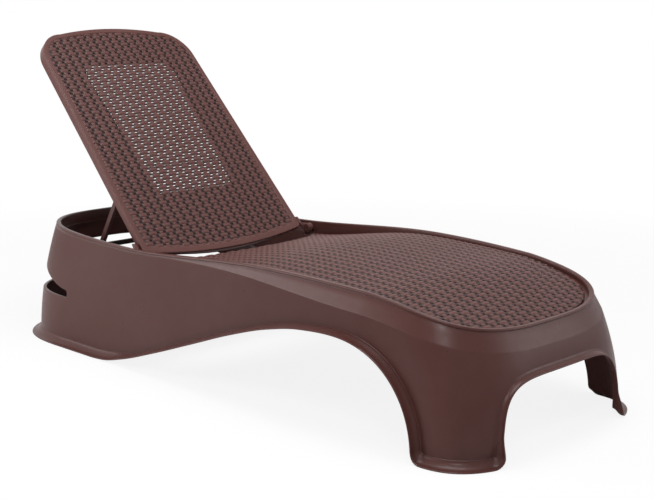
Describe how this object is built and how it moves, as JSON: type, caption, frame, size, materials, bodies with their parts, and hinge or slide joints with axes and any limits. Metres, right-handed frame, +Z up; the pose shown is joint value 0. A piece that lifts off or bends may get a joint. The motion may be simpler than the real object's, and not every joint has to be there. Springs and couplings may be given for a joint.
{
  "type": "sun lounger",
  "caption": "Moulded sun lounger with a skirted one-piece body, arched legs, woven-look seat and a reclining back on side pins held by a folding prop.",
  "frame": {"origin": "on the floor, under the middle of the body's length and width", "axes": "+X to the foot end, -Y the near side of the picture, +Z up"},
  "size_m": [1.9217, 0.7732, 0.9496],
  "materials": {
    "brown_plastic": "satin moulded polypropylene",
    "woven_look_plastic": "woven relief moulded in polypropylene",
    "dark_brown_plastic": "matt moulded polypropylene",
    "plated_steel": "zinc-plated steel"
  },
  "bodies": {
    "body": {"body_shell": "brown_plastic", "seat_panel": "woven_look_plastic", "seat_beam_1": "dark_brown_plastic", "seat_beam_2": "dark_brown_plastic", "seat_beam_3": "dark_brown_plastic", "hinge_beam": "dark_brown_plastic", "hinge_pin_near": "brown_plastic", "hinge_pin_far": "brown_plastic", "notch_rail_near": "dark_brown_plastic", "notch_rail_far": "dark_brown_plastic", "ledge_screw_near_1": "plated_steel", "ledge_screw_far_1": "plated_steel", "ledge_screw_near_2": "plated_steel", "ledge_screw_far_2": "plated_steel", "ledge_screw_near_3": "plated_steel", "ledge_screw_far_3": "plated_steel", "seat_screw_near_1": "plated_steel", "seat_screw_far_1": "plated_steel", "seat_screw_near_2": "plated_steel", "seat_screw_far_2": "plated_steel", "seat_screw_near_3": "plated_steel", "seat_screw_far_3": "plated_steel", "rail_screw_near": "plated_steel", "rail_screw_far": "plated_steel"},
    "back": {"back_panel": "woven_look_plastic", "back_frame": "dark_brown_plastic", "prop_pin_near": "plated_steel", "prop_pin_far": "plated_steel", "frame_screw_near_1": "plated_steel", "frame_screw_far_1": "plated_steel", "frame_screw_near_2": "plated_steel", "frame_screw_far_2": "plated_steel", "frame_screw_near_3": "plated_steel", "frame_screw_far_3": "plated_steel"},
    "prop": {"prop_arm_near": "brown_plastic", "prop_arm_far": "brown_plastic", "prop_foot_bar": "dark_brown_plastic"}
  },
  "joints": [
    {"name": "back_recline", "type": "hinge", "parent": "body", "child": "back", "pos_m": [-0.255, 0, 0.329], "axis": [0, -1, 0], "range_deg": [0, 32]},
    {"name": "prop_fold", "type": "hinge", "parent": "back", "child": "prop", "pos_m": [-0.47779, 0, 0.51367], "axis": [0, 1, 0], "range_deg": [0, 75]}
  ],
  "couplings": [
    {"joint": "prop_fold", "follows": "back_recline", "ratio": 2.3438}
  ]
}
